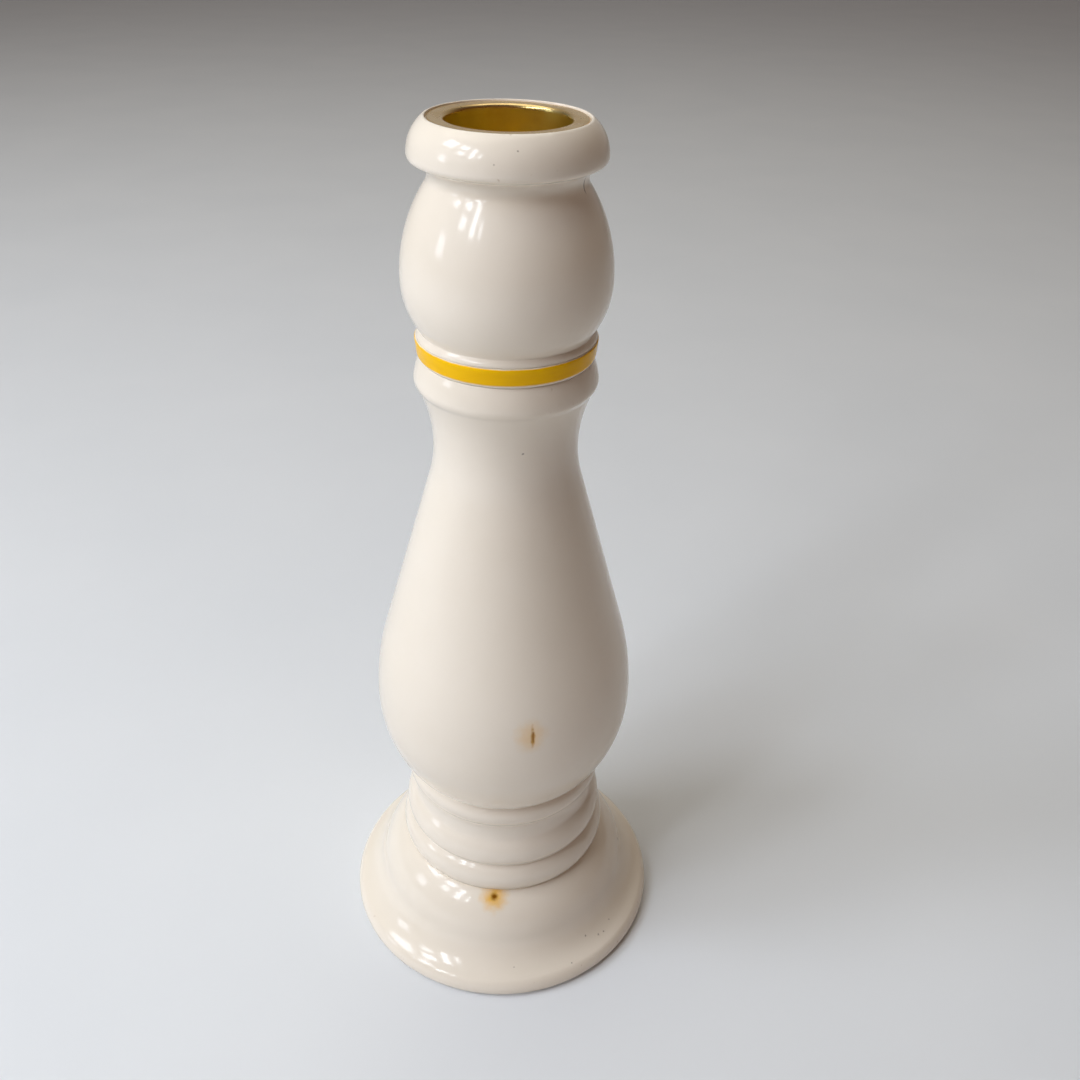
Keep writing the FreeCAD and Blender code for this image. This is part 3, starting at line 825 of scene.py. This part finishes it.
# %% [markdown]
# ## The lights
# A window stands to the left of the camera. Gloss paint shows it as separate bright panes, so
# it is hung as six small soft boxes. Most of its daylight comes from a larger soft box in
# front of them, the curtain, which lights the paint but isn't mirrored in it. A wide and dim
# one overhead fills the shadows.

# %% Hang the lights
AIM = Vector((0, 0, 0.1))    # metres; every soft box faces this point
WINDOW_DISTANCE = 1.6


def soft_box(name, azimuth, elevation, distance, size, power, colour):
    lamp = bpy.data.lights.new(name, "AREA")
    lamp.shape = "RECTANGLE"
    lamp.size, lamp.size_y = size
    lamp.energy, lamp.color = power, colour
    item = bpy.data.objects.new(name, lamp)
    turn, lift = math.radians(azimuth), math.radians(elevation)
    away = Vector((math.cos(turn) * math.cos(lift), math.sin(turn) * math.cos(lift),
                   math.sin(lift)))
    item.location = AIM + away * distance
    item.rotation_mode = "QUATERNION"
    item.rotation_quaternion = away.to_track_quat("Z", "Y")
    bpy.context.scene.collection.objects.link(item)
    return item


PANES = [    # azimuth and elevation in degrees, size in metres, power in watts, colour
    (-168, 14, (0.26, 0.34), 1.3, (0.80, 0.87, 1.0)),
    (-173, 43, (0.36, 0.36), 3.3, (0.82, 0.89, 1.0)),
    (-150, 45, (0.22, 0.22), 1.7, (0.84, 0.92, 1.0)),
    (-149, 33, (0.20, 0.22), 1.1, (0.84, 0.92, 1.0)),
    (-134, 37, (0.13, 0.56), 2.9, (0.88, 0.94, 1.0)),
    (-124, 34, (0.06, 0.34), 0.8, (0.88, 0.94, 1.0)),
]
for count, (azimuth, elevation, size, power, colour) in enumerate(PANES, start=1):
    soft_box(f"window pane {count}", azimuth, elevation, WINDOW_DISTANCE, size, power,
             colour)
curtain = soft_box("curtain", -156, 39, 0.7, (0.56, 0.42), 2.9, (0.83, 0.87, 0.97))
curtain.visible_glossy = False
soft_box("overhead", 120, 75, 1.4, (1.6, 1.2), 8.0, (1.0, 0.96, 0.84))

# %% [markdown]
# ## The room
# What is left of the light comes from the room itself. Each of its sides is one term of a
# sum: a colour times the square of how far a direction faces that side. The camera sees a
# plain backdrop in its place.

# %% Light the room around it
ROOM = [    # which way the light comes from, and its colour
    ((0, 1, 0), (0.42, 0.40, 0.38)),
    ((0, -1, 0), (0.13, 0.045, 0.01)),
    ((1, 0, 0), (0.09, 0.03, 0.004)),
    ((0, 0, 1), (0.10, 0.10, 0.10)),
]
BACKDROP = (0.50, 0.51, 0.52, 1)    # what the camera itself sees past the floor


def room_light():
    """A dim room: pale behind the object, and brown in front of it and on the right."""
    world = bpy.data.worlds.new("room")
    world.use_nodes = True
    room = Tree(world.node_tree)
    room.nodes.nodes.clear()
    away = room.node("ShaderNodeTexCoord").output("Generated")
    glow = room.node("ShaderNodeVectorMath", {"operation": "SCALE"}, {0: away, "Scale": 0.0})
    for direction, colour in ROOM:
        facing = room.node("ShaderNodeVectorMath", {"operation": "DOT_PRODUCT"},
                           {0: away, 1: direction}).output("Value")
        facing = facing.sum("MAXIMUM", facing, 0.0) ** 2
        part = room.node("ShaderNodeVectorMath", {"operation": "SCALE"},
                         {0: colour, "Scale": facing})
        glow = room.node("ShaderNodeVectorMath", {"operation": "ADD"}, {0: glow, 1: part})
    seen = room.node("ShaderNodeLightPath").output("Is Camera Ray")
    shown = room.node("ShaderNodeMix", {"data_type": "RGBA"},
                      {0: seen, 6: glow, 7: BACKDROP}).output("Result")
    light = room.node("ShaderNodeBackground", {}, {"Color": shown})
    room.node("ShaderNodeOutputWorld", {}, {"Surface": light})
    bpy.context.scene.world = world


room_light()

# %% [markdown]
# ## The camera
# The camera looks down by about a third of a right angle from close by, which is why the
# foot looks smaller than it is. Its three axes are worked out from its three angles.

# %% Place the camera
LENS = 35.0    # millimetres, on a sensor 36 mm wide
CAMERA_AT = Vector((0, -0.19201, 0.23276))    # metres
PITCH, YAW, ROLL = 0.5766034, 0.0395492, 0.0290707    # radians


def place_camera():
    forward = Vector((math.sin(YAW) * math.cos(PITCH), math.cos(YAW) * math.cos(PITCH),
                      -math.sin(PITCH)))
    level_right = Vector((math.cos(YAW), -math.sin(YAW), 0))
    level_up = level_right.cross(forward)
    right = level_right * math.cos(ROLL) + level_up * math.sin(ROLL)
    up = level_up * math.cos(ROLL) - level_right * math.sin(ROLL)
    camera = bpy.data.cameras.new("camera")
    camera.lens, camera.sensor_width = LENS, 36.0
    camera.clip_start, camera.clip_end = 0.01, 20.0
    item = bpy.data.objects.new("camera", camera)
    turn = Matrix((right, up, -forward)).transposed().to_4x4()
    item.matrix_world = Matrix.Translation(CAMERA_AT) @ turn
    bpy.context.scene.collection.objects.link(item)
    bpy.context.scene.camera = item


place_camera()
view = bpy.context.scene.view_settings
view.view_transform = "Standard"
